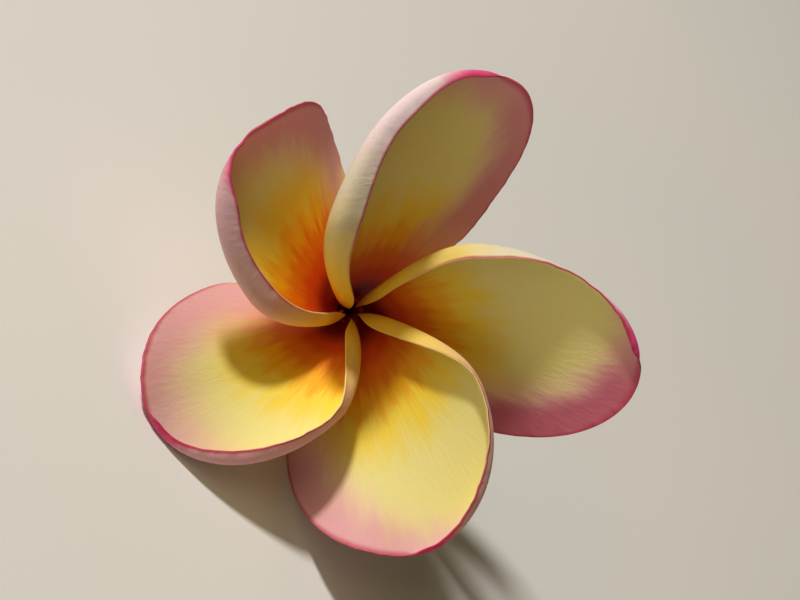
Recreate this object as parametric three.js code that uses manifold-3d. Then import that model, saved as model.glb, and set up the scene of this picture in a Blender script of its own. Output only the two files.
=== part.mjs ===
// A plumeria flower as picked, lying on a flat surface. Millimetres, +Z up.
//
// The flower is built in its own upright frame: the throat is at the origin, the tube hangs down
// -Z and the petals open towards +Z. At the end it is tipped over, so that it lies on the cut end
// of its stalk and on two of its petals.

import * as THREE from 'three';
import { mergeVertices } from 'three/addons/utils/BufferGeometryUtils.js';
import Module from 'manifold-3d';

// ---- The petals ----------------------------------------------------------------------------

const PETAL_THICKNESS = 0.7;
const PETAL_SPACING = 72;           // degrees between one petal and the next, clockwise
const FIRST_PETAL_HEADING = 127;    // degrees

// Where the petals leave the tube they stand in a ring and overlap like a spiral.
const THROAT_RADIUS = 2.6;
const PETAL_FOOT = -2;              // height of a petal's lower end
const FOOT_EDGE_DROP = 0.15;        // how far the thick edge of a foot reaches below it
const FOOT_HALF_WIDTH = 1.75;
const THROAT_RISE = 80;             // degrees above level at a petal's foot
const THROAT_RISE_REACH = 5;        // length over which that steepness fades
const THROAT_TWIST = 17;            // degrees that a petal's foot is turned about its midrib
const THROAT_TWIST_REACH = 5;
const THROAT_WRAP_REACH = 3;        // length over which the round of the throat fades
const TWIST = 36;                   // degrees that the rolled side stands above the free side

// The outline: a petal widens up to its shoulder, and from there its tip is half an ellipse.
const TIP_SHARE = 0.55;             // share of the length past the shoulder
const NARROWING = 1.15;             // above 1 draws the lower part in

// Veins run from the midrib to the margin. The last of them runs along the midrib to the tip.
const SHOULDER_VEIN = 0.38;         // share of the veins below the shoulder
const VEIN_LEAN = 0.9;              // a vein starts this share of the way up to its end
const TIP_VEIN_LENGTH = 4.5;
const TIP_LIFT_START = 0.7;         // share of the length where the tip starts to lift

// Each petal's anticlockwise edge is rolled up and over. The roll is given at six places along
// the veins, from the foot to the tip. The foot and the tip are alike on all petals.
const ROLL_PLACES = [0, 0.12, 0.35, 0.65, 0.9, 1];
const FOOT_ROLL = { width: 1.6, angle: 110 };
const TIP_ROLL = { width: 0.3, angle: 0 };
const ROLL_SHARE = 0.85;            // share of the rolled strip that bends
const ROLL_LIMIT = 0.8;             // the most of a vein that may be rolled

// Angles are in degrees, lengths in millimetres and cups in curvature per millimetre.
// rise is the midrib's slope near the throat, tipRise its slope further out, and tipLift what the
// tip adds. swing turns the midrib sideways. tipTwist is what is left of the twist at the tip.
const PETALS = [
  {
    length: 43, rolledWidth: 15.5, freeWidth: 20, rise: 18, tipRise: 38, tipLift: 12,
    swing: -27, tipTwist: 17, cup: 0.014, freeCup: -0.036,
    rollWidths: [6.6, 8, 7.8, 3], rollAngles: [145, 150, 140, 60],
  },
  {
    length: 50.5, rolledWidth: 24, freeWidth: 11, rise: 18, tipRise: 36, tipLift: -5,
    swing: -4, tipTwist: 4, cup: 0.038, freeCup: -0.026,
    rollWidths: [6.2, 8, 5.6, 2.2], rollAngles: [130, 125, 130, 125],
  },
  {
    length: 50, rolledWidth: 19, freeWidth: 16, rise: 18, tipRise: 38, tipLift: -7,
    swing: 0, tipTwist: 12, cup: 0.008, freeCup: 0.014,
    rollWidths: [4.2, 8, 3.2, 3], rollAngles: [165, 110, 65, 125],
  },
  {
    length: 44, rolledWidth: 20.5, freeWidth: 16, rise: 23, tipRise: 38, tipLift: 12,
    swing: -4, tipTwist: -15, cup: 0.024, freeCup: -0.04,
    rollWidths: [7, 4, 5, 1.6], rollAngles: [155, 80, 120, 130],
  },
  {
    length: 44.5, rolledWidth: 19, freeWidth: 14.5, rise: 18, tipRise: 38, tipLift: 12,
    swing: -18, tipTwist: 4, cup: 0.04, freeCup: -0.006,
    rollWidths: [7, 5.6, 4.8, 2], rollAngles: [165, 80, 125, 125],
  },
];

// How finely a petal is faceted.
const VEINS = 28;
const FLAT_STEPS = 5;
const ROLL_STEPS = 5;
const ROLL_SUBSTEPS = 6;
const MIDRIB_STEPS = 240;
const PROBE = 0.02;                 // short step that reads which way the sheet faces
const SHEET_WELD = 1e-3;

// ---- The tube, the pistil, the calyx and the stalk -----------------------------------------

const FIT_GAP = 0.3;                // clearance between neighbouring pieces
const ROUND_SEGMENTS = 30;
const BALL_COLUMNS = 10;
const BALL_ROWS = 8;
const WELD = 1e-4;

const TUBE_LENGTH = 18;
const TUBE_RIM = PETAL_FOOT - FOOT_EDGE_DROP - FIT_GAP;
const TUBE_FLOOR = TUBE_RIM - TUBE_LENGTH;
const TUBE_RIM_OUTER = 3.3;
const TUBE_RIM_INNER = 1.9;
const TUBE_OUTER = 1.9;
const TUBE_INNER = 1.3;
const TUBE_FUNNEL = 8;              // length of the flare below the rim
const TUBE_WAIST_RADIUS = 2.3;      // half-way up the flare
const TUBE_FLOOR_THICKNESS = 0.8;
const TUBE_FOOT = { radius: 1.5, height: 1 };

const STAMENS = 5;
const STAMEN = { halfLength: 1.3, halfWidth: 0.35, height: 6, radius: 1.15 };

// The pistil from its foot to its top, as [radius, height above the foot].
const PISTIL_FOOT = [0.5, 0];
const PISTIL_OVARY = [0.75, 0.65];
const PISTIL_STYLE = [0.3, 1.6];
const PISTIL_STIGMA = [0.45, 2.7];
const PISTIL_TOP = [0, 3.2];

const CALYX_OUTER = 2.9;
const CALYX_HEIGHT = 2.6;
const CALYX_SHOULDER = 0.8;         // where the cup's side turns upright
const CALYX_FLOOR = 1.4;
const CALYX_LOBES = 5;
const CALYX_LOBE = { halfWidth: 1.45, halfThickness: 0.33, halfHeight: 1.5 };

const STALK_RADIUS = 1.15;
const STALK_LENGTH = 6;
const STALK_BEND = 0.8;             // how far the cut end lies to the side
const STALK_STEPS = 6;
const STALK_SIDES = 16;

// ---- How the flower lies -------------------------------------------------------------------

const LEAN = 54.5;                  // degrees between the flower's axis and the vertical
const LEAN_HEADING = -148.4;        // the side of the flower that is lowest, in degrees

// ---- Materials -----------------------------------------------------------------------------

const petalSkin = () => new THREE.MeshStandardMaterial({ color: '#e9cf7c', roughness: 0.5, metalness: 0 });
const tubeSkin = () => new THREE.MeshStandardMaterial({ color: '#e2cf9a', roughness: 0.5, metalness: 0 });
const pistilSkin = () => new THREE.MeshStandardMaterial({ color: '#b9c27a', roughness: 0.6, metalness: 0 });
const calyxSkin = () => new THREE.MeshStandardMaterial({ color: '#6d4a3a', roughness: 0.55, metalness: 0 });

// ---- Helpers -------------------------------------------------------------------------------

const radians = THREE.MathUtils.degToRad;
const clamp01 = (value) => THREE.MathUtils.clamp(value, 0, 1);
const ease = (value) => THREE.MathUtils.smoothstep(value, 0, 1);

const wasm = await Module();
wasm.setup();

// The geometry with its shared vertices merged and only its positions left.
function welded(geometry) {
  const plain = geometry.clone();
  plain.deleteAttribute('normal');
  plain.deleteAttribute('uv');
  return mergeVertices(plain, WELD);
}

function toSolid(geometry) {
  const plain = welded(geometry);
  const corners = plain.index.array;
  const kept = [];
  for (let i = 0; i < corners.length; i += 3) {
    const [a, b, c] = [corners[i], corners[i + 1], corners[i + 2]];
    if (a !== b && b !== c && c !== a) kept.push(a, b, c);
  }
  const mesh = new wasm.Mesh({
    numProp: 3,
    vertProperties: new Float32Array(plain.attributes.position.array),
    triVerts: new Uint32Array(kept),
  });
  return new wasm.Manifold(mesh);
}

function fused(geometries) {
  const joined = geometries.map(toSolid).reduce((body, next) => body.add(next));
  const mesh = joined.getMesh();
  const geometry = new THREE.BufferGeometry();
  geometry.setAttribute('position', new THREE.BufferAttribute(new Float32Array(mesh.vertProperties), 3));
  geometry.setIndex(new THREE.BufferAttribute(new Uint32Array(mesh.triVerts), 1));
  return geometry;
}

// A turned shape about the Z axis. The profile is a list of [radius, height].
function turned(profile) {
  const points = profile.map(([radius, height]) => new THREE.Vector2(radius, height));
  return new THREE.LatheGeometry(points, ROUND_SEGMENTS).rotateX(Math.PI / 2);
}

function ellipsoid(x, y, z) {
  return new THREE.SphereGeometry(1, BALL_COLUMNS, BALL_ROWS).scale(x, y, z);
}

// ---- A petal -------------------------------------------------------------------------------

// Stations along the midrib, each with its place and its three directions: along the midrib,
// across it to the free edge, and up out of the petal's face.
function midribOf(petal, heading) {
  const step = petal.length / MIDRIB_STEPS;
  const place = new THREE.Vector3(
    THROAT_RADIUS * Math.cos(radians(heading)),
    THROAT_RADIUS * Math.sin(radians(heading)),
    PETAL_FOOT,
  );
  const stations = [];
  for (let i = 0; i <= MIDRIB_STEPS; i++) {
    const share = i / MIDRIB_STEPS;
    const slope = petal.rise + (petal.tipRise - petal.rise) * share
      + (THROAT_RISE - petal.rise) * Math.exp(-i * step / THROAT_RISE_REACH)
      + petal.tipLift * clamp01((share - TIP_LIFT_START) / (1 - TIP_LIFT_START)) ** 2;
    const turn = TWIST + (petal.tipTwist - TWIST) * share
      + (THROAT_TWIST - TWIST) * Math.exp(-i * step / THROAT_TWIST_REACH);
    const [up, round, roll] = [slope, heading + petal.swing * share, turn].map(radians);
    const outward = new THREE.Vector3(Math.cos(round), Math.sin(round), 0);
    const sideways = new THREE.Vector3(Math.sin(round), -Math.cos(round), 0);
    const along = outward.clone().multiplyScalar(Math.cos(up)).setZ(Math.sin(up));
    const above = outward.clone().multiplyScalar(-Math.sin(up)).setZ(Math.cos(up));
    const across = sideways.clone().multiplyScalar(Math.cos(roll)).addScaledVector(above, -Math.sin(roll));
    const face = sideways.clone().multiplyScalar(Math.sin(roll)).addScaledVector(above, Math.cos(roll));
    if (i > 0) {
      place.addScaledVector(stations[i - 1].along, step / 2).addScaledVector(along, step / 2);
    }
    stations.push({ place: place.clone(), along, across, face });
  }
  return stations;
}

function stationAt(stations, petal, distance) {
  const reach = clamp01(distance / petal.length) * MIDRIB_STEPS;
  const low = Math.min(Math.floor(reach), MIDRIB_STEPS - 1);
  const [from, to] = [stations[low], stations[low + 1]];
  const mix = (key) => from[key].clone().lerp(to[key], reach - low);
  return { place: mix('place'), across: mix('across'), face: mix('face') };
}

// The point of the petal's sheet, before its edge is rolled, that lies this far along the midrib
// and this far to the side of it. A negative side is the rolled edge's.
function sheetPoint(petal, stations, distance, side) {
  const { place, across, face } = stationAt(stations, petal, distance);
  const wrap = Math.exp(-distance / THROAT_WRAP_REACH) / THROAT_RADIUS;
  const bend = (side < 0 ? petal.cup : petal.freeCup) + wrap;
  return place
    .addScaledVector(across, Math.sin(bend * side) / bend)
    .addScaledVector(face, (1 - Math.cos(bend * side)) / bend);
}

// A vein's two ends, as [along the midrib, to the side of it].
function veinEnds(petal, share, side) {
  const width = side < 0 ? petal.rolledWidth : petal.freeWidth;
  const shoulder = (1 - TIP_SHARE) * petal.length;
  if (share <= SHOULDER_VEIN) {
    const up = share / SHOULDER_VEIN;
    const half = FOOT_HALF_WIDTH + (width - FOOT_HALF_WIDTH) * Math.sin(up * Math.PI / 2) ** NARROWING;
    return { start: [VEIN_LEAN * up * shoulder, 0], end: [up * shoulder, side * half] };
  }
  const round = (share - SHOULDER_VEIN) / (1 - SHOULDER_VEIN) * Math.PI / 2;
  const first = VEIN_LEAN * shoulder;
  const last = petal.length - TIP_VEIN_LENGTH;
  return {
    start: [first + (last - first) * (1 - Math.cos(round)), 0],
    end: [shoulder + TIP_SHARE * petal.length * Math.sin(round), side * width * Math.cos(round)],
  };
}

function rollAt(petal, share) {
  const widths = [FOOT_ROLL.width, ...petal.rollWidths, TIP_ROLL.width];
  const angles = [FOOT_ROLL.angle, ...petal.rollAngles, TIP_ROLL.angle];
  let i = 0;
  while (i < ROLL_PLACES.length - 2 && share > ROLL_PLACES[i + 1]) i++;
  const mix = ease((share - ROLL_PLACES[i]) / (ROLL_PLACES[i + 1] - ROLL_PLACES[i]));
  return {
    width: THREE.MathUtils.lerp(widths[i], widths[i + 1], mix),
    angle: radians(THREE.MathUtils.lerp(angles[i], angles[i + 1], mix)),
  };
}

// The course of a rolled strip: small steps, each outward and upward, and how far outward the
// strip reaches.
function rollCourse(width, angle) {
  const count = ROLL_STEPS * ROLL_SUBSTEPS;
  const steps = [];
  let reach = 0;
  for (let j = 0; j < count; j++) {
    const turn = angle * ease((j + 0.5) / (count * ROLL_SHARE));
    const [outward, upward] = [Math.cos(turn) * width / count, Math.sin(turn) * width / count];
    steps.push({ outward, upward });
    reach += Math.max(outward, 0);
  }
  return { steps, reach };
}

// The points of one vein, from the midrib to the margin. The strip is rolled so that its bend,
// and not its margin, lies on the petal's outline.
function veinPoints(petal, stations, share, side) {
  const { start, end } = veinEnds(petal, share, side);
  const run = [end[0] - start[0], end[1] - start[1]];
  const length = Math.hypot(...run);
  const roll = rollAt(petal, share);
  const width = Math.min(roll.width, ROLL_LIMIT * length);
  const { steps, reach } = rollCourse(width, side < 0 ? roll.angle : 0);
  const bend = Math.max(length - reach, (1 - ROLL_LIMIT) * length);
  const at = (distance, offset = [0, 0]) => sheetPoint(petal, stations,
    start[0] + run[0] * distance / length + offset[0], start[1] + run[1] * distance / length + offset[1]);

  const points = [];
  for (let j = 0; j <= FLAT_STEPS; j++) points.push(at(bend * j / FLAT_STEPS));

  const fold = points[FLAT_STEPS];
  const away = at(bend + PROBE).sub(fold).normalize();
  const alongSheet = at(bend, [PROBE, 0]).sub(fold);
  const acrossSheet = at(bend, [0, PROBE]).sub(fold);
  const face = acrossSheet.cross(alongSheet).normalize();
  const place = fold.clone();
  steps.forEach(({ outward, upward }, j) => {
    place.addScaledVector(away, outward).addScaledVector(face, upward);
    if ((j + 1) % ROLL_SUBSTEPS === 0) points.push(place.clone());
  });
  return points;
}

// The petal's middle surface: a row of points for each vein pair, from the rolled margin over
// the midrib to the free margin. The last row lies folded on itself along the tip vein.
function petalSheet(petal, heading) {
  const stations = midribOf(petal, heading);
  const rows = [];
  for (let i = 0; i <= VEINS; i++) {
    const rolledSide = veinPoints(petal, stations, i / VEINS, -1);
    const freeSide = veinPoints(petal, stations, i / VEINS, 1);
    rows.push([...rolledSide.reverse(), ...freeSide.slice(1)]);
  }
  const across = rows[0].length;
  const corners = [];
  for (let i = 0; i < VEINS; i++) {
    for (let j = 0; j < across - 1; j++) {
      const a = i * across + j;
      const [b, c, d] = [a + 1, a + across, a + across + 1];
      corners.push(a, b, c, b, d, c);
    }
  }
  const geometry = new THREE.BufferGeometry().setFromPoints(rows.flat());
  geometry.setIndex(corners);
  return mergeVertices(geometry, SHEET_WELD);
}

// A closed solid of even thickness about an open sheet. Both faces are split alike.
function thickened(sheet, thickness) {
  sheet.computeVertexNormals();
  const { position, normal } = sheet.attributes;
  const corners = sheet.index.array;
  const count = position.count;
  const points = [];
  for (const offset of [thickness / 2, -thickness / 2]) {
    for (let i = 0; i < count; i++) {
      const point = new THREE.Vector3().fromBufferAttribute(position, i);
      points.push(point.addScaledVector(new THREE.Vector3().fromBufferAttribute(normal, i), offset));
    }
  }
  const triangles = [];
  const edges = new Map();
  for (let i = 0; i < corners.length; i += 3) {
    const [a, b, c] = [corners[i], corners[i + 1], corners[i + 2]];
    if (a === b || b === c || c === a) continue;
    triangles.push(a, b, c, c + count, b + count, a + count);
    for (const [from, to] of [[a, b], [b, c], [c, a]]) {
      if (!edges.delete(`${to}_${from}`)) edges.set(`${from}_${to}`, [from, to]);
    }
  }
  for (const [from, to] of edges.values()) {
    triangles.push(from + count, to + count, to, from + count, to, from);
  }
  const geometry = new THREE.BufferGeometry().setFromPoints(points);
  geometry.setIndex(triangles);
  return geometry;
}

function petalMesh(petal, number) {
  const heading = FIRST_PETAL_HEADING - PETAL_SPACING * number;
  const mesh = new THREE.Mesh(thickened(petalSheet(petal, heading), PETAL_THICKNESS), petalSkin());
  mesh.name = `petal_${number + 1}`;
  return mesh;
}

// ---- The tube with its stamens -------------------------------------------------------------

function tubeWall() {
  const neck = TUBE_RIM - TUBE_FUNNEL;
  return turned([
    [0, TUBE_FLOOR],
    [TUBE_FOOT.radius, TUBE_FLOOR],
    [TUBE_OUTER, TUBE_FLOOR + TUBE_FOOT.height],
    [TUBE_OUTER, neck],
    [TUBE_WAIST_RADIUS, TUBE_RIM - TUBE_FUNNEL / 2],
    [TUBE_RIM_OUTER, TUBE_RIM],
    [TUBE_RIM_INNER, TUBE_RIM],
    [TUBE_INNER, neck],
    [TUBE_INNER, TUBE_FLOOR + TUBE_FLOOR_THICKNESS],
    [0, TUBE_FLOOR + TUBE_FLOOR_THICKNESS],
  ]);
}

function stamen(number) {
  const { halfWidth, halfLength, height, radius } = STAMEN;
  return ellipsoid(halfWidth, halfWidth, halfLength)
    .translate(radius, 0, TUBE_FLOOR + height)
    .rotateZ(number / STAMENS * 2 * Math.PI);
}

function corollaTube() {
  const stamens = Array.from({ length: STAMENS }, (_, number) => stamen(number));
  const mesh = new THREE.Mesh(fused([tubeWall(), ...stamens]), tubeSkin());
  mesh.name = 'corolla_tube';
  return mesh;
}

function pistil() {
  const foot = TUBE_FLOOR + TUBE_FLOOR_THICKNESS + FIT_GAP;
  const profile = [[0, 0], PISTIL_FOOT, PISTIL_OVARY, PISTIL_STYLE, PISTIL_STIGMA, PISTIL_TOP];
  const mesh = new THREE.Mesh(turned(profile).translate(0, 0, foot), pistilSkin());
  mesh.name = 'pistil';
  return mesh;
}

// ---- The calyx with its stalk --------------------------------------------------------------

function calyxCup() {
  const seat = TUBE_FLOOR - FIT_GAP;
  const bore = TUBE_OUTER + FIT_GAP;
  return turned([
    [0, seat - CALYX_FLOOR],
    [STALK_RADIUS, seat - CALYX_FLOOR],
    [CALYX_OUTER, seat + CALYX_SHOULDER],
    [CALYX_OUTER, seat + CALYX_HEIGHT],
    [bore, seat + CALYX_HEIGHT],
    [bore, seat],
    [0, seat],
  ]);
}

function calyxLobe(number) {
  const { halfWidth, halfThickness, halfHeight } = CALYX_LOBE;
  return ellipsoid(halfThickness, halfWidth, halfHeight)
    .translate(CALYX_OUTER - halfThickness, 0, TUBE_FLOOR - FIT_GAP + CALYX_HEIGHT)
    .rotateZ((number + 0.5) / CALYX_LOBES * 2 * Math.PI);
}

function stalk() {
  const top = TUBE_FLOOR - FIT_GAP - CALYX_FLOOR / 2;
  const route = new THREE.QuadraticBezierCurve3(
    new THREE.Vector3(0, 0, top),
    new THREE.Vector3(0, 0, top - STALK_LENGTH / 2),
    new THREE.Vector3(STALK_BEND, 0, top - STALK_LENGTH),
  );
  const section = new THREE.Shape(new THREE.EllipseCurve(0, 0, STALK_RADIUS, STALK_RADIUS)
    .getPoints(STALK_SIDES));
  return new THREE.ExtrudeGeometry(section, { steps: STALK_STEPS, extrudePath: route });
}

function calyxAndStalk() {
  const lobes = Array.from({ length: CALYX_LOBES }, (_, number) => calyxLobe(number));
  const mesh = new THREE.Mesh(fused([calyxCup(), ...lobes, stalk()]), calyxSkin());
  mesh.name = 'calyx_stalk';
  return mesh;
}

// ---- The whole flower ----------------------------------------------------------------------

function lyingFlower() {
  const upright = new THREE.Group();
  upright.add(...PETALS.map(petalMesh), corollaTube(), pistil(), calyxAndStalk());
  const hinge = new THREE.Vector3(-Math.sin(radians(LEAN_HEADING)), Math.cos(radians(LEAN_HEADING)), 0);
  upright.quaternion.setFromAxisAngle(hinge, radians(LEAN));
  upright.updateMatrixWorld(true);
  const box = new THREE.Box3().setFromObject(upright, true);
  const centre = box.getCenter(new THREE.Vector3());
  upright.position.set(-centre.x, -centre.y, -box.min.z);
  const flower = new THREE.Group();
  flower.add(upright);
  return flower;
}

export default lyingFlower();
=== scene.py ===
"""A plumeria flower as picked, lying on a surface, finished around its solids.

The flower is worked out upright in its own frame, in millimetres: the throat is at the origin,
the tube hangs down -Z and the petals open towards +Z. It is then tipped over and set down, in
metres, where the solids lie.
"""

import math

import bmesh
import bpy
from bpy.props import FloatProperty, FloatVectorProperty, PointerProperty
from mathutils import Matrix, Vector


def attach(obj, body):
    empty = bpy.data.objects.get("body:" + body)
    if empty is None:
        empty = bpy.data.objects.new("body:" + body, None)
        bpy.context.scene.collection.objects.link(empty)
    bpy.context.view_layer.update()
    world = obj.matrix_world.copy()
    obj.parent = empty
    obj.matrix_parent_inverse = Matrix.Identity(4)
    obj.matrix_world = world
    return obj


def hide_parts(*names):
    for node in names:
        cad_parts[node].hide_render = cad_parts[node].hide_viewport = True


bl_info = {
    "name": "Plumeria Flower",
    "version": (1, 0, 0),
    "blender": (4, 5, 0),
    "location": "View3D > Sidebar > Plumeria",
    "description": "Builds one plumeria flower with rolled petals, its tube, calyx and stalk",
    "category": "Add Mesh",
}

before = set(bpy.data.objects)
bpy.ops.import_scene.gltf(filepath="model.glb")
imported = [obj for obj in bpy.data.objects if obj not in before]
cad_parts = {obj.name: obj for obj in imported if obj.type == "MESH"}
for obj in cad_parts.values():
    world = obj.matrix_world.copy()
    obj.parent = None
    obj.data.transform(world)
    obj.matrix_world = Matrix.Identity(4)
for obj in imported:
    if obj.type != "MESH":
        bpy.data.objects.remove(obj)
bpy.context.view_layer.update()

MM = 0.001

# ---- The petals' form, in millimetres and degrees ----------------------------------------------

PETAL_SPACING = 72          # from one petal to the next, clockwise
FIRST_PETAL_HEADING = 127

# Where the petals leave the tube they stand steeply in a ring and overlap like a spiral. Each
# reach is the length along the petal over which that fades.
THROAT_RADIUS = 2.6
PETAL_FOOT = -2             # height of a petal's lower end
FOOT_EDGE_DROP = 0.15       # how far the thick edge of a foot reaches below it
FOOT_HALF_WIDTH = 1.75
THROAT_RISE = 80            # slope of a petal at its foot
THROAT_RISE_REACH = 5
THROAT_TWIST = 17           # turn of a petal's foot about its midrib
THROAT_TWIST_REACH = 5
THROAT_WRAP_REACH = 3
TWIST = 36                  # how far the rolled side stands above the free side

# A petal widens up to its shoulder, and from there its tip is half an ellipse.
TIP_SHARE = 0.55            # share of the length past the shoulder
NARROWING = 1.15            # above 1 draws the lower part in
TIP_LIFT_START = 0.7        # share of the length where the tip starts to lift

# Veins run from the midrib to the margin. The last of them runs along the midrib to the tip.
SHOULDER_VEIN = 0.38        # share of the veins below the shoulder
VEIN_LEAN = 0.9             # a vein starts this share of the way up to its end
TIP_VEIN_LENGTH = 4.5

# Each petal's anticlockwise edge is rolled up and over. The roll is given at these shares of the
# veins. The first and the last are alike on all petals, and are (width, angle).
ROLL_PLACES = (0, 0.12, 0.35, 0.65, 0.9, 1)
FOOT_ROLL = (1.6, 110)
TIP_ROLL = (0.3, 0)
ROLL_SHARE = 0.85           # share of the rolled strip that bends
ROLL_LIMIT = 0.8            # the most of a vein that may be rolled

# rise is the midrib's slope near the throat, tip_rise its slope further out, and tip_lift what
# the tip adds. swing turns the midrib sideways, and tip_twist is the twist left at the tip. The
# cups are curvatures per millimetre.
PETALS = (
    dict(length=43, rolled_width=15.5, free_width=20, rise=18, tip_rise=38, tip_lift=12,
         swing=-27, tip_twist=17, cup=0.014, free_cup=-0.036,
         roll_widths=(6.6, 8, 7, 1.8), roll_angles=(145, 150, 140, 60)),
    dict(length=50.5, rolled_width=24, free_width=11, rise=18, tip_rise=36, tip_lift=-5,
         swing=-4, tip_twist=4, cup=0.038, free_cup=-0.026,
         roll_widths=(6.2, 8, 5.6, 2.2), roll_angles=(130, 125, 130, 125)),
    dict(length=50, rolled_width=19, free_width=16, rise=18, tip_rise=38, tip_lift=-7,
         swing=0, tip_twist=12, cup=0.008, free_cup=0.014,
         roll_widths=(4.2, 6.8, 3, 3), roll_angles=(165, 110, 65, 125)),
    dict(length=44, rolled_width=20.5, free_width=16, rise=23, tip_rise=38, tip_lift=12,
         swing=-4, tip_twist=-15, cup=0.024, free_cup=-0.04,
         roll_widths=(7, 4, 5, 1.6), roll_angles=(155, 80, 120, 130)),
    dict(length=44.5, rolled_width=19, free_width=14.5, rise=18, tip_rise=38, tip_lift=12,
         swing=-18, tip_twist=4, cup=0.04, free_cup=-0.006,
         roll_widths=(7, 5.6, 4.8, 2), roll_angles=(165, 80, 125, 125)),
)

# How finely a petal is meshed.
MIDRIB_STEPS = 240
VEINS = 72
FLAT_STEPS = 16
ROLL_STEPS = 16
ROLL_SUBSTEPS = 3
PROBE = 0.02                # short step that reads which way the sheet faces
SHEET_WELD = 1e-3

# The small waves of the margins.
RUFFLE_LENGTHS = (5.3, 2.9, 1.7)
RUFFLE_MARGIN = 60          # how long a margin counts as
RUFFLE_SIDE_SHIFT = 11      # sets the two margins' waves apart
RUFFLE_PETAL_SHIFT = 7.3    # sets the petals' waves apart
RUFFLE_FOOT = 0.15          # share of the margin over which the waves grow from the foot
RUFFLE_TIP = 0.12           # share of the margin over which they fade to the tip
RUFFLE_REACH = 1.6          # how far in from the margin a wave is felt
THINNING_REACH = 9          # how far in from the margin a petal thins

# ---- The petals' colouring, one value a petal --------------------------------------------------

PETAL_TRAITS = {
    "rosy": (0.35, 0.45, 1, 0.25, 0.1),   # how deep a pink its free margin is
    "flush": (13, 11, 8, 9, 17),          # how far its blush runs down from the tip, in mm
    "glow": (2.5, 0, 0, 0, 0.5),          # how much further out its orange reaches, in mm
    "mauve": (0.7, 0.15, 0.05, 0.5, 0.7),  # how mauve its back is
}

# ---- The tube, the pistil, the calyx and the stalk, in millimetres -----------------------------

FIT_GAP = 0.3               # clearance between neighbouring pieces
ROUND_STEPS = 60
WELD = 1e-4

TUBE_LENGTH = 18
TUBE_RIM = PETAL_FOOT - FOOT_EDGE_DROP - FIT_GAP
TUBE_FLOOR = TUBE_RIM - TUBE_LENGTH
TUBE_RIM_OUTER = 3.3
TUBE_RIM_INNER = 1.9
TUBE_RIM_ROUND = 0.15
TUBE_LIP = 0.55             # height of the thin lip around the petals' feet
TUBE_LIP_WIDTH = 0.4
TUBE_WALL = 0.6
TUBE_FUNNEL = 8             # length of the flare below the rim
TUBE_FLARE = 1.8            # above 1 keeps the flare near the rim
TUBE_FLARE_STEPS = 12
TUBE_FLOOR_THICKNESS = 0.8

STAMENS = 5
STAMEN_SIZE = (0.35, 0.35, 1.3)
STAMEN_PLACE = (1.15, 0, TUBE_FLOOR + 6)

# The pistil's ovary, style and stigma as (radius, height above its foot).
PISTIL_PROFILE = (
    (0, 0), (0.5, 0.02), (0.72, 0.35), (0.74, 0.75), (0.6, 1.2), (0.34, 1.6),
    (0.29, 2.0), (0.33, 2.35), (0.44, 2.65), (0.42, 2.9), (0.25, 3.12), (0, 3.2))

# Heights on the calyx and the stalk are counted from the seat that the tube stands in.
CALYX_LOBES = 5
LOBE_START = 0.8            # height where the cup's side starts to part into lobes
LOBE_HEIGHT = 1.8
LOBE_RISE = 1.4             # how far a lobe's crest is drawn up
NOTCH_DROP = 0.35           # how far the notch between two lobes is drawn down
LOBE_BLUNTNESS = 0.5        # below 1 makes a lobe blunt
RIM_LEAN = 0.07             # share by which the rim leans in
CREST_LEAN = 0.06           # share that a lobe's crest adds to that
STALK_TOP = -0.7
STALK_BEND = 0.8            # how far the cut end lies to the side
STALK_STEPS = 8
STALK_CUT = 0.1             # depth of the pale cut face

# ---- How the flower lies, and where it is seen from --------------------------------------------

LEAN = 54.5                 # how far the flower is tipped over
LEAN_HEADING = -148.4
THROAT_PLACE = (10.56, 8.03, 16.44)

# The camera's direction and roll, in the flower's own frame.
VIEW_LEAN = 11.3
VIEW_HEADING = 144.2
VIEW_ROLL = 6.1
VIEW_DISTANCE = 420
VIEW_AIM = (8.2, 2.0)       # what it aims at, right of the throat and above it
LENS = 113.4
SENSOR = 36

# A lamp's direction is given as to the right, up and back, as the camera sees it from the
# throat. The distances and sizes of the stage are in metres.
KEY_DIRECTION = (-0.01, 0.86, 0.51)
KEY_DISTANCE = 1.6
KEY_SIZE = 0.18
OVERHEAD_DIRECTION = (-0.1, 0.6, 0.8)
OVERHEAD_DISTANCE = 1.2
OVERHEAD_SIZE = 1.2
OVERHEAD_POWER = 3.2
WORLD_STRENGTH = 0.08
FLOOR_HALF_WIDTH = 3
FLOOR_SEGMENTS = 8

# ---- The scales of the patterns ----------------------------------------------------------------

# Streaks to the radian, fanned out from the throat. A radian is 30 mm wide at mid-petal.
FACE_STREAKS = 13           # 2.3 mm wide
FACE_FINE_STREAKS = 34      # 0.9 mm
BACK_STREAKS = 16           # 1.9 mm
VEIN_STREAKS = 60           # 0.5 mm
STREAK_CENTRE = 5           # how far below the throat the fan's centre lies, in mm
STREAK_DRIFT = 0.006        # radians that the streaks change by along each mm

# Grains and mottles to the metre.
PETAL_GRAIN = 3500          # 0.3 mm. Skin cells are half as wide, drawn coarser to show
TUBE_GRAIN = 2500           # 0.4 mm, drawn coarser likewise
PLANT_GRAIN = 1800          # 0.55 mm, drawn coarser likewise
PLANT_MOTTLE = 420          # 2.4 mm
TUBE_MOTTLE = 220           # 4.5 mm
CARD_MOTTLE = 6             # 17 cm

RAMP_LENGTH = 50            # mm along a petal that its colour ramps span


def linear(hex_colour):
    """The sRGB colour as linear RGBA."""
    levels = [int(hex_colour[i:i + 2], 16) / 255 for i in (1, 3, 5)]
    return tuple(c / 12.92 if c <= 0.04045 else ((c + 0.055) / 1.055) ** 2.4 for c in levels) + (1,)


def colour_property(name, description, value):
    return FloatVectorProperty(name=name, description=description, subtype="COLOR", size=4,
                               min=0, max=1, default=linear(value))


# ---- Sizes and colours that a user would change ------------------------------------------------

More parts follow.
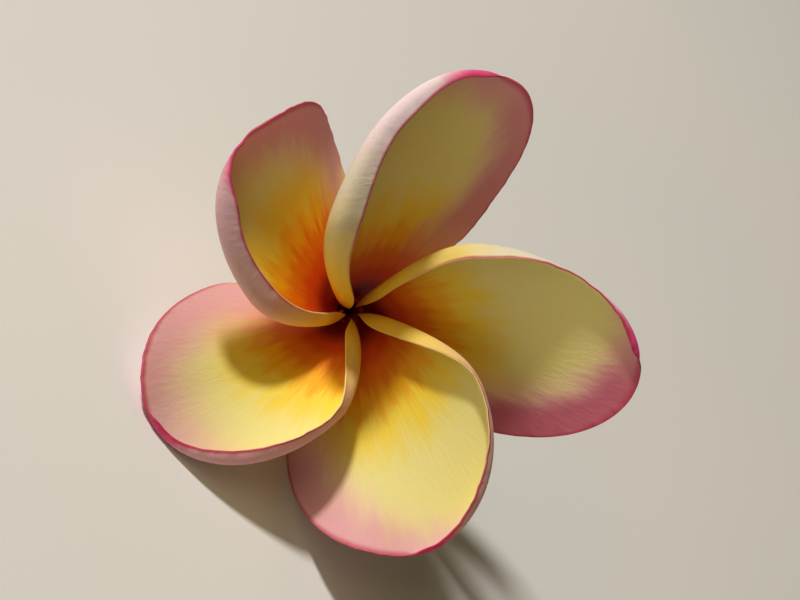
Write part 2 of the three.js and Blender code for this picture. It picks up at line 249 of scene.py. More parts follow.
class FlowerSizes(bpy.types.PropertyGroup):
    petal_thickness: FloatProperty(
        name="Petal thickness", description="Thickness of a petal along its middle, in mm",
        default=0.6, min=0.3, max=0.7)
    margin_share: FloatProperty(
        name="Margin share", description="Thickness at the margin, as a share of the middle's",
        default=0.5, min=0.2, max=1, subtype="FACTOR")
    ruffle: FloatProperty(
        name="Ruffle", description="Height of the small waves along the margins, in mm",
        default=0.2, min=0, max=0.6)
    tube_outer: FloatProperty(
        name="Tube radius", description="Outer radius of the corolla tube, in mm",
        default=1.9, min=1.5, max=2.2)
    calyx_outer: FloatProperty(
        name="Calyx radius", description="Outer radius of the calyx, in mm",
        default=2.9, min=2.4, max=3.2)
    stalk_radius: FloatProperty(
        name="Stalk radius", description="Radius of the stalk, in mm",
        default=1.15, min=0.8, max=1.5)
    stalk_length: FloatProperty(
        name="Stalk length", description="Length of the stalk below the calyx, in mm",
        default=6, min=3, max=6)
    key_power: FloatProperty(
        name="Key light", description="Power of the main light", default=20.5, min=0, unit="POWER")


class FlowerColours(bpy.types.PropertyGroup):
    throat: colour_property("Throat", "Deepest part of the petals' face", "#8a0a02")
    ember: colour_property("Ember", "Red-orange that rings the throat", "#d65007")
    orange: colour_property("Orange", "Orange that spreads from the throat", "#e47c06")
    gold: colour_property("Gold", "Gold of the lower face", "#f4b41a")
    yellow: colour_property("Yellow", "Yellow of the middle face", "#f4d648")
    cream: colour_property("Cream", "Cream of the outer face", "#ebe094")
    blush: colour_property("Blush", "Pink of the free margin and the tip", "#eab4be")
    rose: colour_property("Rose", "Deeper pink where a free margin is most coloured", "#c26a80")
    margin: colour_property("Margin", "Thin line along the margins", "#bd3a63")
    back_foot: colour_property("Back foot", "Back of a petal in the throat", "#ffb428")
    back_gold: colour_property("Back gold", "Back of a petal just above the throat", "#ffca3a")
    back_straw: colour_property("Back straw", "Back of a petal a little further out", "#ecd070")
    back_pale: colour_property("Back pale", "Back of a petal over its middle", "#e0dac0")
    back_lilac: colour_property("Back lilac", "Back of a petal over its outer part", "#eedae2")
    back_mauve: colour_property("Back mauve", "Tint of the back along its margins", "#d09aa6")
    back_tip: colour_property("Back tip", "Back of a petal's tip", "#dc4a88")
    calyx: colour_property("Calyx", "Maroon-brown of the calyx and the stalk", "#53302a")


# ---- Helpers -----------------------------------------------------------------------------------

def mix(low, high, share):
    return low + (high - low) * share


def ease(share):
    share = min(max(share, 0), 1)
    return share * share * (3 - 2 * share)


def flower_place():
    """Takes a point of the upright flower, in millimetres, to where it lies, in metres."""
    heading = math.radians(LEAN_HEADING)
    hinge = Vector((-math.sin(heading), math.cos(heading), 0))
    turn = Matrix.Rotation(math.radians(LEAN), 4, hinge)
    return Matrix.Scale(MM, 4) @ Matrix.Translation(THROAT_PLACE) @ turn


def finish_piece(bm, name, materials, replaced=()):
    """Sets the piece down, smooth, as an object that sits at the origin."""
    bmesh.ops.transform(bm, matrix=flower_place(), verts=bm.verts)
    for face in bm.faces:
        face.smooth = True
    mesh = bpy.data.meshes.new(name)
    bm.to_mesh(mesh)
    bm.free()
    for material in materials:
        mesh.materials.append(material)
    piece = bpy.data.objects.new(name, mesh)
    bpy.context.collection.objects.link(piece)
    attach(piece, "root")
    if replaced:
        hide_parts(*replaced)
    return piece


def spin_profile(bm, profile):
    """Spins a profile of (radius, height) about the Z axis. Its ends may lie on the axis."""
    line = [bm.verts.new((radius, 0, height)) for radius, height in profile]
    edges = [bm.edges.new(pair) for pair in zip(line, line[1:])]
    bmesh.ops.spin(bm, geom=line + edges, axis=(0, 0, 1), cent=(0, 0, 0), angle=2 * math.pi,
                   steps=ROUND_STEPS, use_merge=True)
    bmesh.ops.remove_doubles(bm, verts=bm.verts, dist=WELD)
    bmesh.ops.recalc_face_normals(bm, faces=bm.faces)


# ---- Materials ---------------------------------------------------------------------------------

# Node settings that recur.
ADD = dict(operation="ADD")
SUBTRACT = dict(operation="SUBTRACT")
MULTIPLY = dict(operation="MULTIPLY")
MULTIPLY_ADD = dict(operation="MULTIPLY_ADD")
DIVIDE = dict(operation="DIVIDE")
MAXIMUM = dict(operation="MAXIMUM")
EASED = dict(interpolation_type="SMOOTHSTEP")
TINTED = dict(out=2, data_type="RGBA")

# Thin translucent flesh: light that enters it travels about a millimetre, red the furthest.
FLESH = {"IOR": 1.4, "Specular IOR Level": 0.3, "Subsurface Weight": 0.5,
         "Subsurface Radius": (1.2 * MM, 0.8 * MM, 0.3 * MM), "Subsurface Scale": 1}


def connect(node, sockets):
    """Links or sets the node's sockets, which are given by name or in their order."""
    pairs = sockets.items() if isinstance(sockets, dict) else enumerate(sockets)
    for key, value in pairs:
        if isinstance(value, bpy.types.NodeSocket):
            node.id_data.links.new(value, node.inputs[key])
        else:
            node.inputs[key].default_value = value


def add(tree, kind, sockets=(), out=0, stops=(), **settings):
    """Adds a node with its settings, its sockets and a ramp's stops. Returns one output of it."""
    node = tree.nodes.new("ShaderNode" + kind)
    for name, value in settings.items():
        setattr(node, name, value)
    connect(node, sockets)
    for i, (place, colour) in enumerate(stops):
        ramp = node.color_ramp
        ramp.interpolation = "EASE"
        element = ramp.elements[i] if i < 2 else ramp.elements.new(place)
        element.position = place
        element.color = colour
    return node.outputs[out]


def new_material(name, sockets):
    """A material with its shader's constant sockets set. Returns it, its nodes and its shader."""
    material = bpy.data.materials.new(name)
    material.use_nodes = True
    shader = material.node_tree.nodes["Principled BSDF"]
    connect(shader, sockets)
    return material, material.node_tree, shader


def petal_places(tree):
    """What a petal's patterns follow: millimetres across and along it, its distance from the
    throat, and the place on the fan of streaks that spreads from the throat."""
    flat = add(tree, "UVMap", uv_map="petal")
    across = add(tree, "SeparateXYZ", (flat,))
    along = across.node.outputs["Y"]
    reach = add(tree, "VectorMath", (flat,), out="Value", operation="LENGTH")
    turn = add(tree, "Math", (across, add(tree, "Math", (along, STREAK_CENTRE), **ADD)),
               operation="ARCTAN2")
    drift = add(tree, "Math", (along, STREAK_DRIFT), **MULTIPLY)
    return across, along, reach, add(tree, "CombineXYZ", (turn, drift))


def petal_bump(tree, fan, strength):
    """Veins that fan out along the petal, under a fine skin grain, up to 0.2 mm high."""
    veins = add(tree, "TexNoise", {"Vector": fan, "Scale": VEIN_STREAKS, "Detail": 2})
    place = add(tree, "TexCoord", out="Object")
    grain = add(tree, "TexNoise", {"Vector": place, "Scale": PETAL_GRAIN, "Detail": 2})
    height = add(tree, "Math", (grain, 0.5, veins), **MULTIPLY_ADD)
    return add(tree, "Bump", {"Strength": strength, "Distance": 0.2 * MM, "Height": height})


def waxy_bump(tree, place, grain, strength):
    """A fine waxy grain, up to 0.1 mm high."""
    height = add(tree, "TexNoise", {"Vector": place, "Scale": grain, "Detail": 2})
    return add(tree, "Bump", {"Strength": strength, "Distance": 0.1 * MM, "Height": height})


def petal_face():
    """Fresh petal, upper side: smooth, slightly waxy skin over thin, translucent flesh. Orange
    streaks fan out of the dark throat into gold and cream. The free margin and the tip blush."""
    colours = bpy.context.scene.flower_colours
    material, tree, shader = new_material("petal face", {"Roughness": 0.55, **FLESH})
    across, along, reach, fan = petal_places(tree)
    margin, tip, rosy, flush, glow = (
        add(tree, "Attribute", out="Fac", attribute_name=name)
        for name in ("margin", "tip", "rosy", "flush", "glow"))

    # The streaks shift every band of colour in or out, by up to a few millimetres.
    streaks = add(tree, "TexNoise", {"Vector": fan, "Scale": FACE_STREAKS, "Detail": 4})
    fine = add(tree, "TexNoise", {"Vector": fan, "Scale": FACE_FINE_STREAKS, "Detail": 2})
    shift = add(tree, "Math", (fine, 5, add(tree, "Math", (streaks, 10, -7.5), **MULTIPLY_ADD)),
                **MULTIPLY_ADD)
    margin_place = add(tree, "Math", (shift, 0.5, margin), **MULTIPLY_ADD)
    tip_place = add(tree, "Math", (shift, 0.5, tip), **MULTIPLY_ADD)
    blush_start = add(tree, "Math", (20, flush), **SUBTRACT)
    blush_full = add(tree, "Math", (35, flush), **SUBTRACT)
    line_width = add(tree, "MapRange", (tip_place, 2, 12, 1.5, 0.7))

    # Shares that grow from 0 to 1 while a value goes from its first limit to its second.
    (streaky, free_side, far_out, near_margin, near_tip, rose_band, rose_out,
     line_side, line_out, line_tip, on_line) = (
        add(tree, "MapRange", limits, **EASED) for limits in (
            (reach, 5, 20), (across, -8, 4), (along, blush_start, blush_full),
            (margin_place, 14, 2), (tip_place, flush, 0.5), (margin_place, 9.5, 3.5),
            (along, 11, 29), (across, -2, 2), (along, 10, 26), (tip_place, 9, 5),
            (margin, line_width, 0.1)))

    # The orange reaches further out on the rolled side than on the free side.
    depth = add(tree, "Math", (shift, streaky, reach), **MULTIPLY_ADD)
    depth = add(tree, "Math", (across, -0.12, depth), **MULTIPLY_ADD)
    depth = add(tree, "Math", (depth, glow), **SUBTRACT)
    depth = add(tree, "Math", (depth, RAMP_LENGTH), **DIVIDE)
    tone = add(tree, "ValToRGB", (depth,), stops=(
        (0.085, colours.throat), (0.17, colours.ember), (0.245, colours.orange),
        (0.33, colours.gold), (0.42, colours.yellow), (0.6, colours.cream)))

    # The blush runs along the free margin and over the tip, and leaves the rolled side pale.
    blush = add(tree, "Math", (add(tree, "Math", (near_margin, free_side), **MULTIPLY), far_out),
                **MULTIPLY)
    blush = add(tree, "Math", (add(tree, "Math", (blush, near_tip), **MAXIMUM), 0.95), **MULTIPLY)
    rose = add(tree, "Math", (add(tree, "Math", (rose_band, free_side), **MULTIPLY), rosy),
               **MULTIPLY)
    rose = add(tree, "Math", (rose, rose_out), **MULTIPLY)
    line = add(tree, "Math", (add(tree, "Math", (line_out, line_side), **MULTIPLY), line_tip),
               **MAXIMUM)
    line = add(tree, "Math", (add(tree, "Math", (line, on_line), **MULTIPLY), 0.8), **MULTIPLY)
    for share, colour in ((blush, colours.blush), (rose, colours.rose), (line, colours.margin)):
        tone = add(tree, "Mix", {0: share, 6: tone, 7: colour}, **TINTED)
    connect(shader, {"Base Color": tone, "Normal": petal_bump(tree, fan, 0.35)})
    return material


def petal_back():
    """Fresh petal, under side: paler and more matt than the face. Straw yellow near the throat,
    cream over the middle, mauve to crimson towards the margin and the tip."""
    colours = bpy.context.scene.flower_colours
    material, tree, shader = new_material("petal back", {"Roughness": 0.6, **FLESH})
    _, along, _, fan = petal_places(tree)
    margin, tip, rosy, mauve = (
        add(tree, "Attribute", out="Fac", attribute_name=name)
        for name in ("margin", "tip", "rosy", "mauve"))

    streaks = add(tree, "TexNoise", {"Vector": fan, "Scale": BACK_STREAKS, "Detail": 4})
    shift = add(tree, "Math", (streaks, 8, -4), **MULTIPLY_ADD)
    place = add(tree, "Math", (along, shift), **ADD)
    tip_place = add(tree, "Math", (shift, 0.4, tip), **MULTIPLY_ADD)
    tip_reach = add(tree, "Math", (rosy, 4, 3), **MULTIPLY_ADD)
    outer, near_tip, on_margin, line_out = (
        add(tree, "MapRange", limits, **EASED) for limits in (
            (place, 7, 18), (tip_place, tip_reach, 0.5), (margin, 0.7, 0.2), (along, 8, 22)))

    # A mauve back is also paler, as though each colour began a few millimetres sooner.
    depth = add(tree, "Math", (mauve, 6, place), **MULTIPLY_ADD)
    depth = add(tree, "Math", (depth, RAMP_LENGTH), **DIVIDE)
    tone = add(tree, "ValToRGB", (depth,), stops=(
        (0.04, colours.back_foot), (0.15, colours.back_gold), (0.34, colours.back_straw),
        (0.56, colours.back_pale), (0.8, colours.back_lilac)))
    tint = add(tree, "Math", (outer, mauve), **MULTIPLY)
    line = add(tree, "Math", (on_margin, line_out), **MULTIPLY)
    line = add(tree, "Math", (line, 0.85), **MULTIPLY)
    for share, colour in ((tint, colours.back_mauve), (near_tip, colours.back_tip),
                          (line, colours.margin)):
        tone = add(tree, "Mix", {0: share, 6: tone, 7: colour}, **TINTED)
    connect(shader, {"Base Color": tone, "Normal": petal_bump(tree, fan, 0.5)})
    return material


def petal_margin():
    """The thin edge of a fresh petal, a little glossier than its sides: orange in the throat,
    then cream that turns pink at the tip."""
    colours = bpy.context.scene.flower_colours
    material, tree, shader = new_material("petal margin", {"Roughness": 0.5, "IOR": 1.4})
    _, along, _, _ = petal_places(tree)
    tone = add(tree, "ValToRGB", (add(tree, "Math", (along, RAMP_LENGTH), **DIVIDE),), stops=(
        (0.06, colours.orange), (0.2, colours.cream), (0.5, colours.cream),
        (0.74, colours.margin)))
    connect(shader, {"Base Color": tone})
    return material


def tube_skin():
    """Fresh corolla tube: soft, faintly glowing cream flesh, clouded straw and pink, that turns
    gold at the petals."""
    colours = bpy.context.scene.flower_colours
    material, tree, shader = new_material("corolla tube skin", {
        "Roughness": 0.5, "IOR": 1.4, "Subsurface Weight": 0.2,
        "Subsurface Radius": (1.2 * MM, 0.6 * MM, 0.3 * MM), "Subsurface Scale": 1})
    place = add(tree, "TexCoord", out="Object")
    cloud = add(tree, "TexNoise", {"Vector": place, "Scale": TUBE_MOTTLE, "Detail": 3})
    tone = add(tree, "ValToRGB", (cloud,), stops=(
        (0.35, colours.back_straw), (0.5, colours.back_pale), (0.72, colours.back_mauve)))
    rise = add(tree, "Attribute", out="Fac", attribute_name="rise")
    near_petals = add(tree, "MapRange", (rise, -7, 0), **EASED)
    tone = add(tree, "Mix", {0: near_petals, 6: tone, 7: colours.back_gold}, **TINTED)
    connect(shader, {"Base Color": tone, "Normal": waxy_bump(tree, place, TUBE_GRAIN, 0.3)})
    return material


def plant_skin(name, dark, light, roughness=0.45):
    """Smooth young plant skin, mottled over a few millimetres, with a fine waxy grain."""
    material, tree, shader = new_material(name, {"Roughness": roughness, "IOR": 1.42})
    place = add(tree, "TexCoord", out="Object")
    mottle = add(tree, "TexNoise", {"Vector": place, "Scale": PLANT_MOTTLE, "Detail": 4})
    tone = add(tree, "ValToRGB", (mottle,), stops=((0.3, dark), (0.7, light)))
    connect(shader, {"Base Color": tone, "Normal": waxy_bump(tree, place, PLANT_GRAIN, 0.35)})
    return material


def studio_floor():
    """Matt pale card, very faintly clouded."""
    material, tree, shader = new_material("matt card", {"Roughness": 0.9})
    place = add(tree, "TexCoord", out="Object")
    cloud = add(tree, "TexNoise", {"Vector": place, "Scale": CARD_MOTTLE, "Detail": 2})
    tone = add(tree, "ValToRGB", (cloud,), stops=(
        (0.3, linear("#f2f3f5")), (0.7, linear("#f7f7f8"))))
    connect(shader, {"Base Color": tone})
    return material


# ---- A petal -----------------------------------------------------------------------------------

def midrib_of(petal, heading):
    """Stations along the midrib: the place, and the directions across it to the free edge and up
    out of the petal's face."""
    stride = petal["length"] / MIDRIB_STEPS
    root = math.radians(heading)
    place = Vector((THROAT_RADIUS * math.cos(root), THROAT_RADIUS * math.sin(root), PETAL_FOOT))
    stations = []
    before = None
    for i in range(MIDRIB_STEPS + 1):
        share = i / MIDRIB_STEPS
        up = math.radians(
            mix(petal["rise"], petal["tip_rise"], share)
            + (THROAT_RISE - petal["rise"]) * math.exp(-i * stride / THROAT_RISE_REACH)
            + petal["tip_lift"] * max((share - TIP_LIFT_START) / (1 - TIP_LIFT_START), 0) ** 2)
        roll = math.radians(
            mix(TWIST, petal["tip_twist"], share)
            + (THROAT_TWIST - TWIST) * math.exp(-i * stride / THROAT_TWIST_REACH))
        turn = math.radians(heading + petal["swing"] * share)
        outward = Vector((math.cos(turn), math.sin(turn), 0))
        sideways = Vector((math.sin(turn), -math.cos(turn), 0))
        along = outward * math.cos(up) + Vector((0, 0, math.sin(up)))
        above = outward * -math.sin(up) + Vector((0, 0, math.cos(up)))
        across = sideways * math.cos(roll) - above * math.sin(roll)
        face = sideways * math.sin(roll) + above * math.cos(roll)
        if before:
            place = place + (before + along) * (stride / 2)
        before = along
        stations.append((place, across, face))
    return stations


def sheet_point(petal, stations, distance, side):
    """The point of the sheet, before its edge is rolled, this far along the midrib and this far
    to the side of it. A negative side is the rolled edge's."""
    reach = min(max(distance / petal["length"], 0), 1) * MIDRIB_STEPS
    low = min(int(reach), MIDRIB_STEPS - 1)
    place, across, face = (a.lerp(b, reach - low) for a, b in zip(stations[low], stations[low + 1]))
    wrap = math.exp(-distance / THROAT_WRAP_REACH) / THROAT_RADIUS
    bend = (petal["cup"] if side < 0 else petal["free_cup"]) + wrap
    sideways, upward = math.sin(bend * side) / bend, (1 - math.cos(bend * side)) / bend
    return place + across * sideways + face * upward


def vein_ends(petal, share, side):
    """A vein's ends, each as (along the midrib, to the side of it)."""
    width = petal["rolled_width"] if side < 0 else petal["free_width"]
    shoulder = (1 - TIP_SHARE) * petal["length"]
    if share <= SHOULDER_VEIN:
        up = share / SHOULDER_VEIN
        half = mix(FOOT_HALF_WIDTH, width, math.sin(up * math.pi / 2) ** NARROWING)
        return (VEIN_LEAN * up * shoulder, 0), (up * shoulder, side * half)
    turn = (share - SHOULDER_VEIN) / (1 - SHOULDER_VEIN) * math.pi / 2
    start = mix(VEIN_LEAN * shoulder, petal["length"] - TIP_VEIN_LENGTH, 1 - math.cos(turn))
    end = shoulder + TIP_SHARE * petal["length"] * math.sin(turn)
    return (start, 0), (end, side * width * max(math.cos(turn), 0))


def roll_at(petal, share):
    """The width and the angle of the rolled strip at a vein."""
    widths = (FOOT_ROLL[0], *petal["roll_widths"], TIP_ROLL[0])
    angles = (FOOT_ROLL[1], *petal["roll_angles"], TIP_ROLL[1])
    i = 0
    while i < len(ROLL_PLACES) - 2 and share > ROLL_PLACES[i + 1]:
        i += 1
    part = ease((share - ROLL_PLACES[i]) / (ROLL_PLACES[i + 1] - ROLL_PLACES[i]))
    return mix(widths[i], widths[i + 1], part), math.radians(mix(angles[i], angles[i + 1], part))


def ruffle_at(share, side, number):
    """The wave of the margin at a vein, from -1 to 1. It dies out at the foot and the tip."""
    place = share * RUFFLE_MARGIN + side * RUFFLE_SIDE_SHIFT + number * RUFFLE_PETAL_SHIFT
    waves = sum(math.sin(2 * math.pi * place / length + i)
                for i, length in enumerate(RUFFLE_LENGTHS))
    return waves / len(RUFFLE_LENGTHS) * ease(share / RUFFLE_FOOT) * ease((1 - share) / RUFFLE_TIP)


def roll_course(width, angle):
    """The course of a rolled strip as small steps of (outward, upward, turn), and how far outward
    the strip reaches."""
    count = ROLL_STEPS * ROLL_SUBSTEPS
    piece = width / count
    turns = [angle * ease((j + 0.5) / (count * ROLL_SHARE)) for j in range(count)]
    steps = [(math.cos(turn) * piece, math.sin(turn) * piece, turn) for turn in turns]
    return steps, sum(max(outward, 0) for outward, upward, turn in steps)


def vein_points(petal, stations, share, side, number):
    """Points from the midrib to the margin, each with its flat place and distance to the margin.
    The strip is rolled so that its bend, and not its margin, lies on the petal's outline."""
    start, end = vein_ends(petal, share, side)
    run = (end[0] - start[0], end[1] - start[1])
    length = math.hypot(*run)
    width, angle = roll_at(petal, share)
    width = min(width, ROLL_LIMIT * length)
    steps, reach = roll_course(width, angle if side < 0 else 0)
    bend = max(length - reach, (1 - ROLL_LIMIT) * length)
    waves = bpy.context.scene.flower_sizes.ruffle * ruffle_at(share, side, number)

    def flat(distance):
        return start[0] + run[0] * distance / length, start[1] + run[1] * distance / length

    def lift(distance):
        return waves * ease(1 - (bend + width - distance) / RUFFLE_REACH)

    def on_sheet(distance, offset=(0, 0)):
        place = flat(distance)
        return sheet_point(petal, stations, place[0] + offset[0], place[1] + offset[1])

    fold = on_sheet(bend)
    outward = (on_sheet(bend + PROBE) - fold).normalized()
    ahead = on_sheet(bend, (PROBE, 0)) - fold
    aside = on_sheet(bend, (0, PROBE)) - fold
    face = aside.cross(ahead).normalized()

    points = []
    for j in range(FLAT_STEPS + 1):
        distance = bend * j / FLAT_STEPS
        place = on_sheet(distance) + face * lift(distance)
        points.append((place, flat(distance), bend + width - distance))
    place = fold
    for j, (across, above, turn) in enumerate(steps, start=1):
        place = place + outward * across + face * above
        if j % ROLL_SUBSTEPS == 0:
            distance = bend + width * j / len(steps)
            normal = face * math.cos(turn) - outward * math.sin(turn)
            lifted = place + normal * lift(distance)
            points.append((lifted, flat(distance), bend + width - distance))
    return points


def build_petal(number, petal, materials):
    """One petal: a grid laid over the sheet, from the rolled margin over the midrib to the free
    margin, then thickened, thinner at the margin, and rounded."""
    sizes = bpy.context.scene.flower_sizes
    stations = midrib_of(petal, FIRST_PETAL_HEADING - PETAL_SPACING * number)
    rows = []
    for i in range(VEINS + 1):
        rolled_side = vein_points(petal, stations, i / VEINS, -1, number)
        free_side = vein_points(petal, stations, i / VEINS, 1, number)
        rows.append(rolled_side[::-1] + free_side[1:])

    bm = bmesh.new()
    steps = len(rows[0]) - 1
    bmesh.ops.create_grid(bm, x_segments=steps, y_segments=VEINS, size=1)
    uv = bm.loops.layers.uv.new("petal")
    for name in ("margin", "tip", *PETAL_TRAITS):
        bm.verts.layers.float.new(name)
    weights = bm.verts.layers.deform.verify()
    layers = bm.verts.layers.float
    flat_places = {}
    for vert in bm.verts:
        column = round((vert.co.x + 1) / 2 * steps)
        row = round((vert.co.y + 1) / 2 * VEINS)
        place, flat, distance = rows[row][column]
        vert.co = place
        vert[layers["margin"]] = distance
        vert[layers["tip"]] = petal["length"] - flat[0]
        for name, values in PETAL_TRAITS.items():
            vert[layers[name]] = values[number]
        vert[weights][0] = mix(sizes.margin_share, 1, ease(distance / THINNING_REACH))
        flat_places[vert] = (flat[1], flat[0])
    for face in bm.faces:
        for loop in face.loops:
            loop[uv].uv = flat_places[loop.vert]
    bmesh.ops.remove_doubles(bm, verts=bm.verts, dist=SHEET_WELD)

    name = f"petal_{number + 1}"
    piece = finish_piece(bm, f"{name}_skin", materials, [name])
    piece.vertex_groups.new(name="thickness")
    wall = piece.modifiers.new("Flesh", "SOLIDIFY")
    wall.thickness = sizes.petal_thickness * MM
    wall.offset = 0
    wall.vertex_group = "thickness"
    wall.material_offset = 1
    wall.material_offset_rim = 2
    rounding = piece.modifiers.new("Round", "SUBSURF")
    rounding.levels = 1
    rounding.render_levels = 1


class FLOWER_OT_petals(bpy.types.Operator):
    """Builds the petals, each with its rolled edge"""
    bl_idname = "flower.petals"
    bl_label = "Petals"

    def execute(self, context):
        materials = (petal_face(), petal_back(), petal_margin())
        for number, petal in enumerate(PETALS):
            build_petal(number, petal, materials)
        return {"FINISHED"}


# ---- The tube with its stamens, and the pistil -------------------------------------------------

def tube_profile(outer):
    """From the closed lower end, up the outside, over the lip and the rim, down to the floor."""
    inner = outer - TUBE_WALL
    floor = TUBE_FLOOR + TUBE_FLOOR_THICKNESS
    flare = []
    for i in range(TUBE_FLARE_STEPS + 1):
        share = i / TUBE_FLARE_STEPS
        flare.append((share, mix(TUBE_RIM - TUBE_FUNNEL, TUBE_RIM - TUBE_RIM_ROUND, share)))
    return [
        (0, TUBE_FLOOR), (outer * 0.5, TUBE_FLOOR), (outer * 0.85, TUBE_FLOOR + 0.2),
        (outer, TUBE_FLOOR + 1.2),
        *((mix(outer, TUBE_RIM_OUTER, share ** TUBE_FLARE), height) for share, height in flare),
        (TUBE_RIM_OUTER + 0.04, TUBE_RIM + 0.2), (TUBE_RIM_OUTER - 0.04, TUBE_RIM + TUBE_LIP),
        (TUBE_RIM_OUTER - 0.22, TUBE_RIM + TUBE_LIP), (TUBE_RIM_OUTER - TUBE_LIP_WIDTH, TUBE_RIM),
        (TUBE_RIM_INNER + TUBE_RIM_ROUND, TUBE_RIM),
        *((mix(inner, TUBE_RIM_INNER, share), height) for share, height in reversed(flare)),
        (inner, floor + 0.4), (inner * 0.8, floor), (0, floor)]


class FLOWER_OT_tube(bpy.types.Operator):
    """Builds the corolla tube and the stamens inside it"""
    bl_idname = "flower.tube"
    bl_label = "Corolla tube"

    def execute(self, context):
        bm = bmesh.new()
        spin_profile(bm, tube_profile(context.scene.flower_sizes.tube_outer))
        rise = bm.verts.layers.float.new("rise")
        for vert in bm.verts:
            vert[rise] = vert.co.z - TUBE_RIM
        for face in bm.faces:
            spot = face.calc_center_median()
            inward = face.normal.x * spot.x + face.normal.y * spot.y < 0
            on_rim = spot.z > TUBE_RIM - 0.1 and spot.xy.length < TUBE_RIM_OUTER - TUBE_LIP_WIDTH
            face.material_index = 1 if inward or on_rim else 0
        # The lining deep in the throat is painted crimson-red, painted shade of the dim inside of
        # the tube, and is glossier than the skin.
        lining = plant_skin("throat lining painted shade", linear("#a4200c"), linear("#c2380f"), roughness=0.35)
        skins = [tube_skin(), lining]
        finish_piece(bm, "corolla_tube_wall", skins, ["corolla_tube"])

        bm = bmesh.new()
        for number in range(STAMENS):
            made = bmesh.ops.create_uvsphere(bm, u_segments=16, v_segments=12, radius=1)
            turn = Matrix.Rotation(2 * math.pi * number / STAMENS, 4, "Z")
            shape = Matrix.Translation(STAMEN_PLACE) @ Matrix.Diagonal((*STAMEN_SIZE, 1))
            bmesh.ops.transform(bm, matrix=turn @ shape, verts=made["verts"])
        # Ripe pollen sacs are plump and a dull, mealy gold.
        anther = plant_skin("anther", linear("#c9a640"), linear("#e2c765"))
        finish_piece(bm, "stamens", [anther])
        return {"FINISHED"}


class FLOWER_OT_pistil(bpy.types.Operator):
    """Builds the pistil at the bottom of the tube"""
    bl_idname = "flower.pistil"
    bl_label = "Pistil"

    def execute(self, context):
        foot = TUBE_FLOOR + TUBE_FLOOR_THICKNESS + FIT_GAP
        bm = bmesh.new()
        spin_profile(bm, [(radius, foot + height) for radius, height in PISTIL_PROFILE])
        # A pistil is smooth and pale green, like a very young pod.
        skin = plant_skin("pistil skin", linear("#9fae5c"), linear("#c6cd86"))
        finish_piece(bm, "pistil_body", [skin], ["pistil"])
        return {"FINISHED"}


# ---- The calyx with its stalk ------------------------------------------------------------------

def calyx_and_stalk_profile(sizes, seat):
    """From the stalk's cut end, up its side, over the calyx and its rim, down to the seat."""
    bore = sizes.tube_outer + FIT_GAP
    outer = sizes.calyx_outer
    stalk = sizes.stalk_radius
    foot = seat + STALK_TOP - sizes.stalk_length
    return [
        (0, foot), (stalk * 0.6, foot), (stalk * 0.93, foot + 0.02), (stalk, foot + 0.25),
        *((stalk, mix(foot + 0.6, seat - 1.7, i / STALK_STEPS)) for i in range(STALK_STEPS + 1)),
        (stalk * 1.12, seat - 1.25), (outer * 0.68, seat + STALK_TOP), (outer * 0.9, seat + 0.1),
        (outer, seat + 0.9), (outer, seat + 1.7), (outer, seat + 2.3), (outer - 0.06, seat + 2.6),
        (outer - 0.3, seat + 2.66), (bore + 0.1, seat + 2.4), (bore, seat + 1.7),
        (bore, seat + 0.4), (bore * 0.9, seat), (0, seat)]


def shape_calyx(bm, sizes, seat):
    """Draws the cup's rim up and inward into blunt lobes, and bends the stalk to one side."""
    for vert in bm.verts:
        turn = math.atan2(vert.co.y, vert.co.x)
        height = vert.co.z - seat
        if height > LOBE_START:
            crest = abs(math.cos(turn * CALYX_LOBES / 2 + math.pi / 2)) ** LOBE_BLUNTNESS
            rim = ease((height - LOBE_START) / LOBE_HEIGHT)
            vert.co.z += (LOBE_RISE * crest - NOTCH_DROP) * rim
            vert.co.xy *= 1 - (RIM_LEAN + CREST_LEAN * crest) * rim
        if height < STALK_TOP:
            down = (STALK_TOP - height) / sizes.stalk_length
            vert.co.x += STALK_BEND * down * down


class FLOWER_OT_calyx(bpy.types.Operator):
    """Builds the lobed calyx grown together with the stalk"""
    bl_idname = "flower.calyx"
    bl_label = "Calyx and stalk"

    def execute(self, context):
        sizes = context.scene.flower_sizes
        seat = TUBE_FLOOR - FIT_GAP
        bm = bmesh.new()
        spin_profile(bm, calyx_and_stalk_profile(sizes, seat))
        shape_calyx(bm, sizes, seat)
        # The skin has the dull shine of a young twig, and olive clouds over its maroon.
        skin = plant_skin("calyx skin", context.scene.flower_colours.calyx, linear("#7d6640"))
        # Freshly cut pith is pale and matt.
        cut = plant_skin("cut stalk", linear("#b9b483"), linear("#d9d3a8"), roughness=0.7)
        end = seat + STALK_TOP - sizes.stalk_length + STALK_CUT
        for face in bm.faces:
            face.material_index = 1 if face.calc_center_median().z < end else 0
        finish_piece(bm, "calyx_with_stalk", [skin, cut], ["calyx_stalk"])
        return {"FINISHED"}


# ---- The floor, the light and the camera -------------------------------------------------------

def view_axes():
    """The camera's right, up and backward directions, where the flower lies."""
    lean, heading = math.radians(VIEW_LEAN), math.radians(VIEW_HEADING)
    back = Vector((math.sin(lean) * math.cos(heading), math.sin(lean) * math.sin(heading),
                   math.cos(lean)))
    roll = math.radians(VIEW_ROLL)
    up = Vector((math.sin(roll), math.cos(roll), 0))
    right = up.cross(back).normalized()
    up = back.cross(right)
    turn = flower_place().to_3x3().normalized()
    return turn @ right, turn @ up, turn @ back


def add_lamp(name, place, target, size, power, colour):
    light = bpy.data.lights.new(name, "AREA")
    light.shape = "DISK"
    light.size = size
    light.energy = power
    light.color = linear(colour)[:3]
    lamp = bpy.data.objects.new(name, light)
    lamp.location = place
    lamp.rotation_euler = (target - place).to_track_quat("-Z", "Y").to_euler()
    bpy.context.collection.objects.link(lamp)


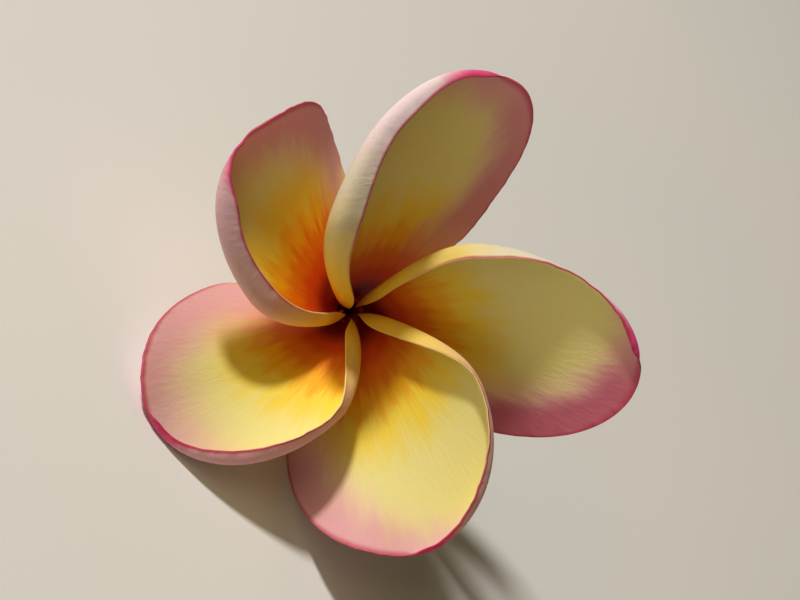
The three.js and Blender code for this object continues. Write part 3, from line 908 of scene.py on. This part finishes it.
class FLOWER_OT_stage(bpy.types.Operator):
    """Lays the pale floor and sets the lights and the camera"""
    bl_idname = "flower.stage"
    bl_label = "Floor, light and camera"

    def execute(self, context):
        bm = bmesh.new()
        bmesh.ops.create_grid(bm, x_segments=FLOOR_SEGMENTS, y_segments=FLOOR_SEGMENTS,
                              size=FLOOR_HALF_WIDTH)
        mesh = bpy.data.meshes.new("floor")
        bm.to_mesh(mesh)
        bm.free()
        mesh.materials.append(studio_floor())
        floor = bpy.data.objects.new("floor", mesh)
        context.collection.objects.link(floor)

        right, up, back = view_axes()
        throat = flower_place() @ Vector((0, 0, 0))
        aim = throat + (right * VIEW_AIM[0] + up * VIEW_AIM[1]) * MM
        camera_data = bpy.data.cameras.new("camera")
        camera_data.lens = LENS
        camera_data.sensor_width = SENSOR
        camera = bpy.data.objects.new("camera", camera_data)
        turn = Matrix((right, up, back)).transposed()
        camera.matrix_world = Matrix.Translation(aim + back * VIEW_DISTANCE * MM) @ turn.to_4x4()
        context.collection.objects.link(camera)
        context.scene.camera = camera

        key = throat + turn @ Vector(KEY_DIRECTION) * KEY_DISTANCE
        key_power = context.scene.flower_sizes.key_power
        add_lamp("key", key, throat, KEY_SIZE, key_power, "#fff9f0")
        overhead = throat + turn @ Vector(OVERHEAD_DIRECTION) * OVERHEAD_DISTANCE
        add_lamp("overhead", overhead, throat, OVERHEAD_SIZE, OVERHEAD_POWER, "#fbe6b8")

        world = bpy.data.worlds.new("studio")
        world.use_nodes = True
        connect(world.node_tree.nodes["Background"],
                {"Color": linear("#f2dfae"), "Strength": WORLD_STRENGTH})
        context.scene.world = world
        context.scene.view_settings.view_transform = "Standard"
        return {"FINISHED"}


# ---- The add-on --------------------------------------------------------------------------------

class FLOWER_PT_panel(bpy.types.Panel):
    """Lists the flower's pieces, sizes and colours"""
    bl_label = "Plumeria Flower"
    bl_idname = "FLOWER_PT_panel"
    bl_space_type = "VIEW_3D"
    bl_region_type = "UI"
    bl_category = "Plumeria"

    def draw(self, context):
        for operator in OPERATORS:
            self.layout.operator(operator.bl_idname)
        for group in (context.scene.flower_sizes, context.scene.flower_colours):
            box = self.layout.box()
            for name in group.__annotations__:
                box.prop(group, name)


OPERATORS = (FLOWER_OT_petals, FLOWER_OT_tube, FLOWER_OT_pistil, FLOWER_OT_calyx, FLOWER_OT_stage)
CLASSES = (FlowerSizes, FlowerColours, *OPERATORS, FLOWER_PT_panel)


def register():
    for cls in CLASSES:
        bpy.utils.register_class(cls)
    bpy.types.Scene.flower_sizes = PointerProperty(type=FlowerSizes)
    bpy.types.Scene.flower_colours = PointerProperty(type=FlowerColours)


def unregister():
    del bpy.types.Scene.flower_colours
    del bpy.types.Scene.flower_sizes
    for cls in reversed(CLASSES):
        bpy.utils.unregister_class(cls)


def main():
    register()
    bpy.ops.flower.petals()
    bpy.ops.flower.tube()
    bpy.ops.flower.pistil()
    bpy.ops.flower.calyx()
    bpy.ops.flower.stage()


if __name__ == "__main__":
    main()
